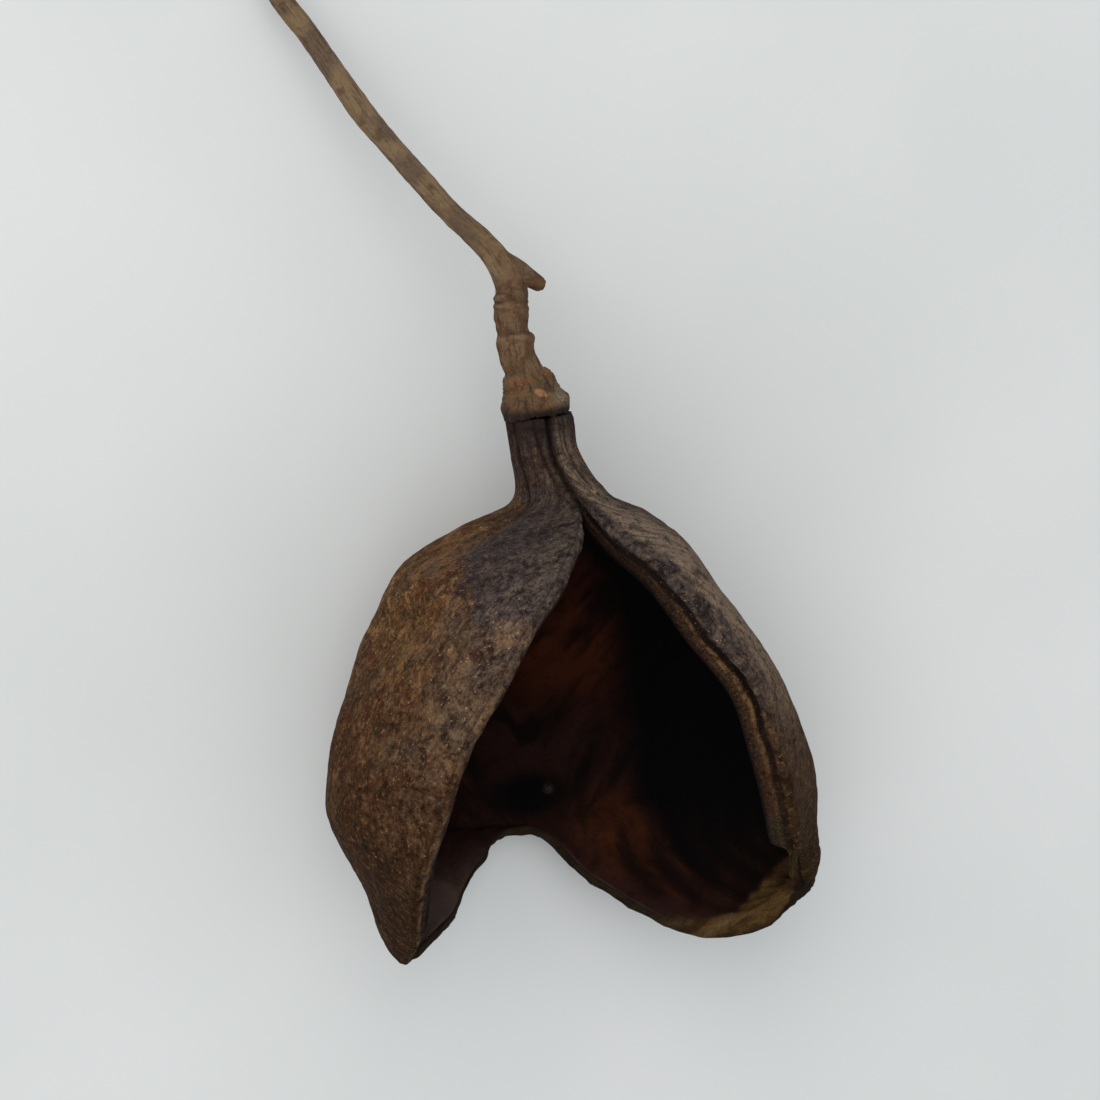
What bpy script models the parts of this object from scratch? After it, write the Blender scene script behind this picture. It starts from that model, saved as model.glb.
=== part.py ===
# An opened, woody seed follicle with its stalk, lying on its back with the opening up.
# Tables are in millimetres in the follicle's own directions: x across it, y from its back
# towards the opening, h down from the top of the neck. The part is placed in metres, +Z up.

import bmesh
import bpy
import numpy as np

MM = 0.001

# Each section: sway across, back seam, widest belly point, lip, and how far the lip curls (degrees)
UPPER = [
    (0.1, (0, -5.0, 0), (5.3, 0, 0), (0.3, 4.8, 0), 0),
    (0.4, (0, -4.8, 6), (5.1, 0, 6), (0.3, 5.6, 6), 0),
    (2.2, (0, -5.8, 11.5), (7.2, 0.3, 12.8), (0.2, 9.5, 11.5), 0),
    (0.4, (0, -11, 17), (14.0, -1, 16.1), (4.3, 17, 16), 8),
    (-1.4, (0, -18, 23), (21.3, -5, 21.5), (9.8, 25.5, 21), 14),
    (-0.9, (0, -23, 32), (25.9, -7.5, 30.3), (15.0, 27, 29), 24),
    (-0.6, (0, -25, 44), (33.2, -5, 42.5), (23.7, 25, 42), 38),
]
LEFT_LIP = [0.3, 0.3, 0.8, 2.3, 7.9, 15.2, 24.0]    # the left half's own lip across, in each
RIGHT_END = [
    (0, (0, -25, 56), (38.4, -1, 55), (28.0, 19.5, 54.5), 50),
    (0, (0, -23, 69.8), (40.9, -1, 64), (31.5, 15, 65), 60),
    (0, (9.6, -19.5, 79.0), (41.1, -2, 72.5), (34.2, 10, 71), 65),
    (0, (24.5, -12, 89.3), (40.7, -1, 78.6), (35.6, 7, 73.5), 70),
    (0, (33.2, -3, 87.3), (38.4, 2, 81), (36.4, 5, 75.5), 75),
]
LEFT_END = [
    (0, (0, -25, 56), (38.4, -1, 55), (28.3, 19.5, 54.5), 50),
    (0, (0, -23, 69.8), (36.6, -1, 64), (31.2, 15, 65), 60),
    (0, (11.5, -19, 73.8), (34.0, -2, 70.3), (31.2, 12, 70), 65),
    (0, (19.8, -10, 80.1), (32.3, -1, 76.3), (31.0, 9, 76), 70),
    (0, (27.3, -0.8, 80.9), (30.4, 2, 80.6), (30.7, 5, 79.3), 75),
]
TEAR_RIGHT = (1.7, 1.0, 0.55)   # how the torn edge sets off from the notch, in each half
TEAR_LEFT = (2.5, 1.0, -0.8)
SLIT = 2            # section where the opening starts
NOTCH = 8           # section where the two halves part at the back
PER = 4             # rows of points in each gap between sections
BACK_COLS = 8       # columns from the back seam to the belly
FRONT_COLS = 8      # columns from the belly to the lip
ROUND = 0.55        # fullness of the section's curves

WALL = 3.3          # thickness of the woody wall
LIP_WALL = 4.2      # thickness along its edges
TIP_RIGHT = 0.95    # share of the thickness left at each half's tip
TIP_LEFT = 0.5
LUMP = 0.2          # size of the slow waves in the skin
LEFT_PLAIN = 0.85   # how plain the left half's lip is, against the grooved right one

# Lip from the outer skin to the inner one: share of the thickness, bulge at a grooved lip,
# bulge at the plain edge round the lower end
LIP = [
    (0.10, 0.55, 0.55),
    (0.30, 0.75, 0.95),
    (0.46, -0.25, 1.05),
    (0.60, -0.45, 1.00),
    (0.72, 0.35, 0.85),
    (0.87, 0.50, 0.50),
]

# Stalk from the neck to the twig's far end: x, y, h, radius
STALK = [
    (-0.2, 0.0, -0.3, 5.00),
    (-0.2, 0.0, -0.7, 5.25),
    (-0.3, 0.0, -1.6, 5.25),
    (-0.7, 0.0, -3.1, 4.65),
    (-1.1, -0.1, -5.0, 3.95),
    (-1.5, -0.2, -6.1, 3.40),
    (-1.6, -0.2, -6.8, 3.10),
    (-1.7, -0.3, -7.4, 2.85),
    (-2.1, -0.5, -8.6, 2.80),
    (-2.4, -0.6, -10.6, 2.84),
    (-2.5, -0.7, -11.8, 2.80),
    (-2.6, -0.8, -12.5, 2.55),
    (-2.7, -0.9, -13.5, 2.40),
    (-2.6, -1.0, -14.8, 2.50),
    (-2.5, -1.2, -16.0, 2.65),
    (-2.3, -1.4, -17.4, 2.62),
    (-1.9, -1.7, -19.1, 2.55),
    (-2.3, -2.2, -21.6, 2.30),
    (-3.7, -3.0, -24.7, 2.00),
    (-5.6, -4.0, -27.4, 1.85),
    (-9.3, -4.9, -31.7, 1.75),
    (-13.3, -5.9, -37.1, 1.78),
    (-17.3, -6.9, -42.8, 1.68),
    (-21.1, -7.8, -48.4, 1.80),
    (-24.1, -8.6, -53.8, 1.66),
    (-27.5, -9.5, -60.1, 1.66),
    (-31.1, -10.3, -65.9, 1.66),
    (-33.4, -10.8, -70.0, 1.60),
]
STALK_SIDES = 20
STALK_STEPS = 2
STUB_START = (-3.4, -2.7, -24.0)
STUB_END = (3.2, -1.9, -18.9)
STUB_RADII = (2.05, 1.85, 1.6, 1.35, 1.0)
STUB_AT = (0.0, 0.45, 0.75, 0.94, 1.0)

# How the part lies: turned about its own length and about its width, with a small worn flat
ROLL = 3.0
PITCH = -5.5
FLAT = 1.2

PODSKIN = ((0.105, 0.062, 0.036, 1.0), 0.62, 0.0)
BARK = ((0.200, 0.140, 0.085, 1.0), 0.80, 0.0)


def section_table(end):
    rows = []
    for sway, back, belly, lip, curl in UPPER + end:
        rows.append([*back, *belly, *lip, np.radians(curl), sway])
    table = np.array(rows, float)
    if end is LEFT_END:
        table[:len(LEFT_LIP), 6] = LEFT_LIP
    return table


def section_places():
    middle = (section_table(RIGHT_END) + section_table(LEFT_END)) / 2
    steps = np.linalg.norm(np.diff(middle[:, :9], axis=0), axis=1) / np.sqrt(3)
    return np.concatenate([[0], np.cumsum(steps)])


def slopes_at(keys, places):
    gaps = np.diff(places)
    steps = np.diff(keys, axis=0) / gaps[:, None]
    slopes = np.empty_like(keys)
    slopes[0] = steps[0]
    slopes[-1] = steps[-1]
    for i in range(1, len(keys) - 1):
        slopes[i] = (steps[i - 1] * gaps[i] + steps[i] * gaps[i - 1]) / (gaps[i - 1] + gaps[i])
    return slopes


def between(a, b, slope_a, slope_b, gap, s):
    k = 2 * s**3 - 3 * s**2 + 1
    return (k * a + (1 - k) * b + (s**3 - 2 * s**2 + s) * gap * slope_a
            + (s**3 - s**2) * gap * slope_b)


def section_rows(side, per):
    """Rows of section values for one half, shared along the seam down to the notch."""
    keys = section_table(RIGHT_END if side > 0 else LEFT_END)
    other = section_table(LEFT_END if side > 0 else RIGHT_END)
    places = section_places()
    gaps = np.diff(places)
    arrive = slopes_at(keys, places)
    arrive[-1] = 2 * (keys[-1] - keys[-2]) / gaps[-1] - arrive[-2]    # the tips round off
    leave = arrive.copy()
    seam = (arrive[:NOTCH + 1, :3] + slopes_at(other, places)[:NOTCH + 1, :3]) / 2
    seam[:, 0] = 0
    arrive[:NOTCH + 1, :3] = seam
    leave[:NOTCH, :3] = seam[:-1]
    step = (keys[NOTCH + 1, :3] - keys[NOTCH, :3]) / gaps[NOTCH]
    leave[NOTCH, :3] = step * (TEAR_RIGHT if side > 0 else TEAR_LEFT)
    rows = []
    for i, gap in enumerate(gaps):
        for k in range(per):
            rows.append(between(keys[i], keys[i + 1], leave[i], arrive[i + 1], gap, k / per))
    rows.append(keys[-1])
    return np.array(rows)


def bezier(a, b, c, d, s):
    s = s[:, None]
    r = 1 - s
    return r**3 * a + 3 * r * r * s * b + 3 * r * s * s * c + s**3 * d


def section_points(row, back_cols, front_cols):
    """One half section: an arc from the back seam to the belly, another on to the lip."""
    back, belly, lip, curl = row[0:3], row[3:6], row[6:9], row[9]
    run, rise = belly[0] - back[0], belly[1] - back[1]
    start = np.array([rise / rise**2, back[0] / belly[0]**2])
    start /= np.linalg.norm(start)
    reach = ROUND * (abs(start[0]) * run + abs(start[1]) * rise)
    lower = bezier(back[:2], back[:2] + start * reach, belly[:2] - (0, ROUND * rise),
                   belly[:2], np.linspace(0, 1, back_cols + 1))
    over, up = belly[0] - lip[0], lip[1] - belly[1]
    aim = np.array([-np.cos(curl), np.sin(curl)])
    pull = ROUND * (over * np.cos(curl) + 0.35 * up * np.sin(curl) + 0.2)
    upper = bezier(belly[:2], belly[:2] + (0, ROUND * up), lip[:2] - aim * pull,
                   lip[:2], np.linspace(0, 1, front_cols + 1))
    u = np.concatenate([np.linspace(0, 1, back_cols + 1), np.linspace(1, 2, front_cols + 1)[1:]])
    h = back[2] * (u - 1) * (u - 2) / 2 - belly[2] * u * (u - 2) + lip[2] * u * (u - 1) / 2
    return np.column_stack([np.vstack([lower, upper[1:]]), h])


def half_skin(side, per, back_cols, front_cols):
    rows = section_rows(side, per)
    grid = np.array([section_points(row, back_cols, front_cols) for row in rows])
    grid[..., 0] = grid[..., 0] * side + rows[:, 10][:, None]
    return grid


def smooth(a, b, v):
    t = np.clip((v - a) / (b - a), 0, 1)
    return t * t * (3 - 2 * t)


def lumps(p):
    x, y, h = p[..., 0], p[..., 1], p[..., 2]
    wave = (np.sin(0.36 * x + 0.15 * h + 0.4) + np.sin(-0.17 * x + 0.33 * h + 0.25 * y + 1.9)
            + np.sin(-0.2 * x + 0.21 * h + 0.28 * y + 4.0))
    return LUMP * wave * np.clip((h - 8) / 12, 0, 1)


def strip(faces, a, b, c, d):
    faces.append((a, b, c))
    faces.append((a, c, d))


def point_normals(points, faces):
    """Normals at the points, spread a little over their neighbours."""
    tri = np.array(faces)
    flat = np.cross(points[tri[:, 1]] - points[tri[:, 0]], points[tri[:, 2]] - points[tri[:, 0]])
    normals = np.zeros_like(points)
    for k in range(3):
        np.add.at(normals, tri[:, k], flat)
    normals /= np.linalg.norm(normals, axis=1)[:, None]
    for _ in range(4):
        spread = normals * 2
        for k in range(3):
            np.add.at(spread, tri[:, k], normals[tri[:, (k + 1) % 3]])
            np.add.at(spread, tri[:, k], normals[tri[:, (k + 2) % 3]])
        normals = spread / np.linalg.norm(spread, axis=1)[:, None]
    return normals


def outer_skin(per, back_cols, front_cols):
    cols = back_cols + front_cols
    last, notch, slit = per * 11, per * NOTCH, per * SLIT
    points, ids = [], {}
    for side in (1, -1):
        grid = half_skin(side, per, back_cols, front_cols)
        own = np.zeros((last + 1, cols + 1), int)
        for i in range(last + 1):
            for j in range(cols + 1):
                if side < 0 and j == 0 and i <= notch:
                    own[i, j] = ids[1][i, j]
                elif side < 0 and j == cols and i <= slit:
                    # the closed seam up the neck is a shallow groove
                    own[i, j] = ids[1][i, j]
                    points[own[i, j]] = (points[own[i, j]] + grid[i, j]) / 2 - (0, 0.5, 0)
                else:
                    own[i, j] = len(points)
                    points.append(grid[i, j])
        ids[side] = own
    points = np.array(points)
    faces = []
    for side in (1, -1):
        o = ids[side]
        for i in range(last):
            for j in range(cols):
                strip(faces, *[o[i, j], o[i, j + 1], o[i + 1, j + 1], o[i + 1, j]][::side])
    normals = point_normals(points, faces)
    return points + normals * lumps(points)[:, None], normals, faces, ids


def inner_skin(points, normals, outer, per, cols, front_cols):
    """Inner skin: the outer one less the wall, drawn together to one point at the slit's top."""
    last, notch, slit = per * 11, per * NOTCH, per * SLIT
    first = len(points)
    inside, ids = [], {}
    for side in (1, -1):
        o = outer[side]
        own = np.full((last + 1, cols + 1), -1)
        for i in range(slit, last + 1):
            lip_a, lip_b = points[outer[1][i, cols]], points[outer[-1][i, cols]]
            core = np.array([(lip_a[0] + lip_b[0]) / 2, points[o[i, cols], 1] * 0.3,
                             points[o[i, cols], 2]])
            for j in range(cols + 1):
                if i == slit:
                    if not inside:
                        inside.append(core + (0, 0, 0.6))
                    own[i, j] = first
                    continue
                if side < 0 and j == 0 and i <= notch:
                    own[i, j] = ids[1][i, j]
                    continue
                v = o[i, j]
                edge = smooth(front_cols * 0.75, 0, cols - j)
                torn = smooth(notch - per * 1.5, notch + 1, i)
                edge = max(edge, smooth(3.5, 0, j) * torn, smooth(4, 0, last - i))
                thick = WALL + (LIP_WALL - WALL) * edge
                tip = TIP_RIGHT if side > 0 else TIP_LEFT
                thick *= 1 + (tip - 1) * smooth(per * 8.5, last, i)
                open_up = 0.45 + 0.55 * smooth(0, 4.5 * per / 4, i - slit)
                own[i, j] = first + len(inside)
                inside.append(core + (points[v] - normals[v] * thick - core) * open_up)
        ids[side] = own
    faces = []
    for side in (1, -1):
        o = ids[side]
        for i in range(slit, last):
            for j in range(cols):
                ring = [o[i, j], o[i + 1, j], o[i + 1, j + 1], o[i, j + 1]][::side]
                if i == slit:
                    faces.append(tuple(v for k, v in enumerate(ring) if v not in ring[:k]))
                else:
                    strip(faces, *ring)
    return np.array(inside), faces, ids


def lip_strips(points, normals, outer, inner, per, cols):
    """The wall's edge all round the opening and the two tips, as one closed band."""
    last, notch, slit = per * 11, per * NOTCH, per * SLIT
    way = [(i, cols, 1) for i in range(slit, last)]
    way += [(last, j, 1) for j in range(cols, -1, -1)]
    way += [(i, 0, 1) for i in range(last - 1, notch, -1)]
    way += [(i, 0, -1) for i in range(notch, last)]
    way += [(last, j, -1) for j in range(cols + 1)]
    way += [(i, cols, -1) for i in range(last - 1, slit, -1)]
    out_ids = np.array([outer[s][i, j] for i, j, s in way])
    in_ids = np.array([inner[s][i, j] for i, j, s in way])
    a, b = points[out_ids], points[in_ids]
    along = np.roll(a, -1, 0) - np.roll(a, 1, 0)
    away = np.cross(along, normals[out_ids])
    away[0] = 0
    away /= np.maximum(np.linalg.norm(away, axis=1), 1e-9)[:, None]
    size, plain = np.zeros(len(way)), np.zeros(len(way))
    for k, (i, j, s) in enumerate(way):
        gap = abs(points[outer[1][i, cols], 0] - points[outer[-1][i, cols], 0])
        thick = np.linalg.norm(a[k] - b[k]) / LIP_WALL
        size[k] = min(gap / 5, thick, 1)
        if j == 0:
            plain[k] = 1
        elif i == last:
            plain[k] = smooth(0, cols * 0.5, cols - j)
        if s < 0:
            plain[k] = max(plain[k], LEFT_PLAIN)
    rings, extra, start = [out_ids], [], len(points)
    for share, grooved, even in LIP:
        bulge = (grooved + (even - grooved) * plain) * size
        extra.append(a + (b - a) * share + away * bulge[:, None])
        rings.append(start + np.arange(len(way)))
        start += len(way)
    rings.append(in_ids)
    faces = []
    for r, q in zip(rings[:-1], rings[1:]):
        for k in range(len(way)):
            n = (k + 1) % len(way)
            strip(faces, r[k], q[k], q[n], r[n])
    return np.vstack(extra), faces


def pod_shape(per=PER, back_cols=BACK_COLS, front_cols=FRONT_COLS):
    cols = back_cols + front_cols
    points, normals, faces, outer = outer_skin(per, back_cols, front_cols)
    inside, more, inner = inner_skin(points, normals, outer, per, cols, front_cols)
    faces += more
    points = np.vstack([points, inside])
    band, more = lip_strips(points, normals, outer, inner, per, cols)
    faces += more
    points = np.vstack([points, band, [[UPPER[0][0], 0, 0]]])
    for side in (1, -1):
        for j in range(cols):
            faces.append((len(points) - 1, outer[side][0, j + 1], outer[side][0, j])[::side])
    return points, faces


def tube_shape(path, radii, sides, turn=0.0):
    """A closed tube along a path, its rings carried on without twist."""
    path = np.array(path, float)
    along = np.gradient(path, axis=0)
    along /= np.linalg.norm(along, axis=1)[:, None]
    across = np.cross(along[0], (0.0, 1.0, 0.0))
    points, faces = [path[0]], []
    angles = turn + np.arange(sides) * 2 * np.pi / sides
    for centre, ahead, radius in zip(path, along, radii):
        across = across - ahead * np.dot(across, ahead)
        across /= np.linalg.norm(across)
        up = np.cross(ahead, across)
        for angle in angles:
            points.append(centre + radius * (np.cos(angle) * across + np.sin(angle) * up))
    points.append(path[-1])
    end = len(points) - 1
    for k in range(sides):
        n = (k + 1) % sides
        faces.append((0, 1 + n, 1 + k))
        faces.append((end, end - sides + k, end - sides + n))
        for i in range(len(path) - 1):
            a, b = 1 + i * sides, 1 + (i + 1) * sides
            strip(faces, a + k, a + n, b + n, b + k)
    return np.array(points), faces


def stalk_path(steps):
    keys = np.array(STALK, float)
    gaps = np.linalg.norm(np.diff(keys[:, :3], axis=0), axis=1)
    places = np.concatenate([[0], np.cumsum(gaps)])
    slopes = slopes_at(keys, places)
    rows = []
    for i, gap in enumerate(gaps):
        for k in range(steps):
            rows.append(between(keys[i], keys[i + 1], slopes[i], slopes[i + 1], gap, k / steps))
    rows.append(keys[-1])
    return np.array(rows)


def stub_path():
    a, b = np.array(STUB_START), np.array(STUB_END)
    return [a + (b - a) * at for at in STUB_AT]


def lying(points):
    """Turns the table's directions to the way the part lies: across, towards the neck, up."""
    p = np.column_stack([points[:, 0], -points[:, 2], points[:, 1]])
    r, t = np.radians(ROLL), np.radians(PITCH)
    about_length = np.array([[np.cos(r), 0, np.sin(r)], [0, 1, 0], [-np.sin(r), 0, np.cos(r)]])
    about_width = np.array([[1, 0, 0], [0, np.cos(t), -np.sin(t)], [0, np.sin(t), np.cos(t)]])
    return p @ about_length.T @ about_width.T


def material(name, values):
    colour, roughness, metallic = values
    made = bpy.data.materials.new(name)
    made.use_nodes = True
    shader = made.node_tree.nodes["Principled BSDF"]
    shader.inputs["Base Color"].default_value = colour
    shader.inputs["Roughness"].default_value = roughness
    shader.inputs["Metallic"].default_value = metallic
    made.diffuse_color = colour
    return made


def add_object(name, points, faces, made):
    mesh = bpy.data.meshes.new(name)
    mesh.from_pydata([tuple(p) for p in points], [], [tuple(int(v) for v in f) for f in faces])
    mesh.validate()
    body = bmesh.new()
    body.from_mesh(mesh)
    bmesh.ops.recalc_face_normals(body, faces=body.faces)
    for face in body.faces:
        face.smooth = True
    body.to_mesh(mesh)
    body.free()
    mesh.materials.append(made)
    thing = bpy.data.objects.new(name, mesh)
    bpy.context.scene.collection.objects.link(thing)
    return thing


def join_on(body, piece):
    """Unites a second closed piece with the body, as one solid."""
    union = body.modifiers.new("union", "BOOLEAN")
    union.operation = "UNION"
    union.solver = "EXACT"
    union.object = piece
    piece.hide_render = True
    piece.display_type = "WIRE"
    bpy.context.view_layer.update()
    whole = bpy.data.meshes.new_from_object(body.evaluated_get(bpy.context.evaluated_depsgraph_get()))
    body.modifiers.clear()
    body.data = whole
    bpy.data.objects.remove(piece, do_unlink=True)


def build():
    for thing in list(bpy.data.objects):
        bpy.data.objects.remove(thing, do_unlink=True)

    pod_points, pod_faces = pod_shape()
    path = stalk_path(STALK_STEPS)
    stalk_points, stalk_faces = tube_shape(path[:, :3], path[:, 3], STALK_SIDES)
    stub_points, stub_faces = tube_shape(stub_path(), STUB_RADII, 14, turn=0.2)

    pod_points = lying(pod_points)
    stalk_points = lying(stalk_points)
    stub_points = lying(stub_points)

    # the floor cuts a small flat under the pod's weight, and the twig's end stays clear of it
    floor = pod_points[:, 2].min() + FLAT
    both = np.vstack([pod_points, stalk_points])
    middle = (both.min(axis=0) + both.max(axis=0)) / 2
    shift = np.array([middle[0], middle[1], floor])
    placed = []
    for points in (pod_points, stalk_points, stub_points):
        points = points - shift
        points[:, 2] = np.maximum(points[:, 2], 0)
        placed.append(points * MM)

    bark = material("bark", BARK)
    add_object("pod", placed[0], pod_faces, material("husk", PODSKIN))
    stalk = add_object("stalk", placed[1], stalk_faces, bark)
    stub = add_object("stub", placed[2], stub_faces, bark)
    join_on(stalk, stub)


build()
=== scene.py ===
import bpy
import numpy as np
from mathutils import Matrix, Vector


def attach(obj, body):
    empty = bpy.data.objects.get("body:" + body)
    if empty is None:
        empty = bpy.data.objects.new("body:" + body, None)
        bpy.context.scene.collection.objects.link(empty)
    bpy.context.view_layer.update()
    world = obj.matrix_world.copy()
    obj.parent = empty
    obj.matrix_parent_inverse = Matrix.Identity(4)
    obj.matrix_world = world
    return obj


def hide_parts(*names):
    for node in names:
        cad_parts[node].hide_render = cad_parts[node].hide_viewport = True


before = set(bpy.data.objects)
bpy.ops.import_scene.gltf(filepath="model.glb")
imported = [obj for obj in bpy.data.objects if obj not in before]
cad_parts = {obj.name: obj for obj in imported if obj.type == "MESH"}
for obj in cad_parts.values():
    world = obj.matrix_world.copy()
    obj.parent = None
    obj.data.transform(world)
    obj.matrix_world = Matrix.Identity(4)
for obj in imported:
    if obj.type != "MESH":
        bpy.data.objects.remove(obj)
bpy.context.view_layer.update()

# An opened woody husk on its stalk, lying on its back. Shapes are worked out in millimetres:
# x across the husk, y from its back towards the opening, h down from the top of the neck.

lay = {
    "roll": 3.0,        # degrees about the husk's length
    "pitch": -5.5,      # degrees about its width
    "shift": (1.25693, -10.28853, -19.64668),   # millimetres, taken off after turning
}
mm = 0.001      # one millimetre, in the scene's metres


def lyingDown(points):
    p = np.column_stack([points[:, 0], -points[:, 2], points[:, 1]])
    r, t = np.radians(lay["roll"]), np.radians(lay["pitch"])
    aboutLength = np.array([[np.cos(r), 0, np.sin(r)], [0, 1, 0], [-np.sin(r), 0, np.cos(r)]])
    aboutWidth = np.array([[1, 0, 0], [0, np.cos(t), -np.sin(t)], [0, np.sin(t), np.cos(t)]])
    return p @ aboutLength.T @ aboutWidth.T


def placed(points):
    world = lyingDown(points) - lay["shift"]
    world[:, 2] = np.maximum(world[:, 2], 0)   # the worn flat
    return world * mm


# Small tools

def smooth(a, b, v):
    t = np.clip((v - a) / (b - a), 0, 1)
    return t * t * (3 - 2 * t)


def hashed(i, j, k, seed):
    n = (i * 73856093) ^ (j * 19349663) ^ (k * 83492791) ^ (seed * 2654435761)
    n = (n ^ (n >> 13)) * 1274126177 & 0x7FFFFFFF
    return ((n ^ (n >> 16)) & 0xFFFF) / 32767.5 - 1


def waves(points, size, seed):   # smooth value noise from -1 to 1
    p = np.asarray(points, float) / size
    cell = np.floor(p).astype(np.int64)
    f = p - cell
    f = f * f * (3 - 2 * f)
    total = 0
    for corner in np.ndindex(2, 2, 2):
        weight = np.where(corner, f, 1 - f).prod(-1)
        total = total + weight * hashed(*np.moveaxis(cell + corner, -1, 0), seed)
    return total


def slopesAt(keys, places):
    gaps = np.diff(places)
    steps = np.diff(keys, axis=0) / gaps[:, None]
    slopes = np.empty_like(keys)
    slopes[0], slopes[-1] = steps[0], steps[-1]
    slopes[1:-1] = ((steps[:-1] * gaps[1:, None] + steps[1:] * gaps[:-1, None])
                    / (gaps[:-1] + gaps[1:])[:, None])
    return slopes


def between(a, b, slopeA, slopeB, gap, s):
    k = 2 * s**3 - 3 * s**2 + 1
    return (k * a + (1 - k) * b + (s**3 - 2 * s**2 + s) * gap * slopeA
            + (s**3 - s**2) * gap * slopeB)


def curve(keys, places, leave, arrive, steps):   # rows between the keys, and the last key
    rows = [between(keys[i], keys[i + 1], leave[i], arrive[i + 1], gap, k / steps)
            for i, gap in enumerate(np.diff(places)) for k in range(steps)]
    return np.array(rows + [keys[-1]])


def unit(v):
    return v / np.maximum(np.linalg.norm(v, axis=-1, keepdims=True), 1e-9)


def bell(v, at, wide):   # 1 at one value, and down to 0 on both sides of it
    return np.exp(-((v - at) / wide) ** 2)


def runOf(points):   # way covered along a row of points
    return np.concatenate([[0], np.cumsum(np.linalg.norm(np.diff(points, axis=0), axis=1))])


def addToScene(name, data):
    thing = bpy.data.objects.new(name, data)
    bpy.context.scene.collection.objects.link(thing)
    return thing


def plainMesh(name, points, faces):
    mesh = bpy.data.meshes.new(name)
    mesh.from_pydata(points.tolist(), [], faces)
    return addToScene(name, mesh)


def finishMesh(mesh, values):   # smooth shading, and values for the finish at each point
    mesh.polygons.foreach_set("use_smooth", np.ones(len(mesh.polygons), bool))
    for key, numbers in values.items():
        layer = mesh.attributes.new(key, "FLOAT", "POINT")
        layer.data.foreach_set("value", numbers.astype(np.float32))


# The husk's shape

husk = {
    # sway, back seam, widest belly point, lip, lip curl in degrees
    "upper": [
        (0.1, (0, -5.0, 0), (5.3, 0, 0), (0.3, 4.8, 0), 0),
        (0.4, (0, -4.8, 6), (5.1, 0, 6), (0.3, 5.6, 6), 0),
        (2.2, (0, -5.8, 11.5), (7.2, 0.3, 12.8), (0.2, 9.5, 11.5), 0),
        (0.4, (0, -11, 17), (14.0, -1, 16.1), (4.3, 17, 16), 8),
        (-1.4, (0, -18, 23), (21.3, -5, 21.5), (9.8, 25.5, 21), 14),
        (-0.9, (0, -23, 32), (25.9, -7.5, 30.3), (15.0, 27, 29), 24),
        (-0.6, (0, -25, 44), (33.2, -5, 42.5), (23.7, 25, 42), 38),
    ],
    "leftLip": [0.3, 0.3, 0.8, 2.3, 7.9, 15.2, 24.0],   # the left half's own lip across, in each
    "rightEnd": [
        (0, (0, -25, 56), (38.4, -1, 55), (28.0, 19.5, 54.5), 50),
        (0, (0, -23, 69.8), (40.9, -1, 64), (31.5, 15, 65), 60),
        (0, (9.6, -19.5, 79.0), (41.1, -2, 72.5), (34.2, 10, 71), 65),
        (0, (24.5, -12, 89.3), (40.7, -1, 78.6), (35.6, 7, 73.5), 70),
        (0, (33.2, -3, 87.3), (38.4, 2, 81), (36.4, 5, 75.5), 75),
    ],
    "leftEnd": [
        (0, (0, -25, 56), (38.4, -1, 55), (28.3, 19.5, 54.5), 50),
        (0, (0, -23, 69.8), (36.6, -1, 64), (31.2, 15, 65), 60),
        (0, (11.5, -19, 73.8), (34.0, -2, 70.3), (31.2, 12, 70), 65),
        (0, (19.8, -10, 80.1), (32.3, -1, 76.3), (31.0, 9, 76), 70),
        (0, (27.3, -0.8, 80.9), (30.4, 2, 80.6), (30.7, 5, 79.3), 75),
    ],
    "tear": {1: (1.7, 1.0, 0.55), -1: (2.5, 1.0, -0.8)},   # how each torn edge sets off
    "slitSection": 2,
    "notchSection": 8,
    "rowsPerGap": 16,
    "backColumns": 32,
    "frontColumns": 32,
    "fullness": 0.55,
    "wall": 3.3,
    "lipWall": 4.2,
    "tipShare": {1: 0.95, -1: 0.5},
    "lump": 0.2,
    "rightCalm": 0.6,       # how much evener the right half is
    "spread": 90,           # rounds of easing on the directions that the wall is measured along
    "furrowDepth": 0.85,
    "furrows": [(7, 0.4, 1.0), (12, 2.1, 0.6), (21, 4.0, 0.25)],   # count round the neck, turn, depth
    "furrowEdge": 0.55,     # under 1, the furrows are narrow and the ribs between them broad
    "dents": 0.13,
    "skinGrain": 0.09,
    "seamWidth": 0.55,
    "seamDepth": 0.95,
    "innerRidges": 0.75,
    "innerRidgeGap": 4.2,
    "innerDents": 0.16,
    "innerGrain": 0.05,
    # share of the wall, bulge at a grooved lip, bulge at the plain edge of the lower end
    "lip": [(0, 0, 0), (0.08, 0.5, 0.55), (0.2, 0.68, 0.95), (0.29, 0.34, 1.03),
            (0.38, -0.5, 1.05), (0.44, -0.46, 1.0), (0.53, 0.14, 0.92), (0.6, 0.38, 0.8),
            (0.68, 0.16, 0.66), (0.84, 0.14, 0.42), (1, 0, 0)],
    "lipPoints": 24,
    "lipLean": (-1.275, -0.375, 0.6),  # the grooved lip leans in over the hollow, by this at most
    "lipRough": 0.24,
    "thinGroove": (0.74, 0.045, 0.35),  # a second groove low down: share of the wall, width, depth
    "crescentAt": (32.4, -8.0, 82.1),   # the bare crescent's inner border, and the way out from it
    "crescentOut": (0.735, 0, 0.678),
    "leftPlain": 0.85,      # how plain the left half's lip is, against the grooved right one
}
perGap, backCols, frontCols = husk["rowsPerGap"], husk["backColumns"], husk["frontColumns"]
lastCol, lastRow = backCols + frontCols, perGap * (len(husk["upper"] + husk["rightEnd"]) - 1)
notchRow, slitRow = perGap * husk["notchSection"], perGap * husk["slitSection"]


def sectionTable(end):
    table = np.array([[*back, *belly, *lip, np.radians(curl), sway]
                      for sway, back, belly, lip, curl in husk["upper"] + husk[end]], float)
    if end == "leftEnd":
        table[:len(husk["leftLip"]), 6] = husk["leftLip"]
    return table


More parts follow.
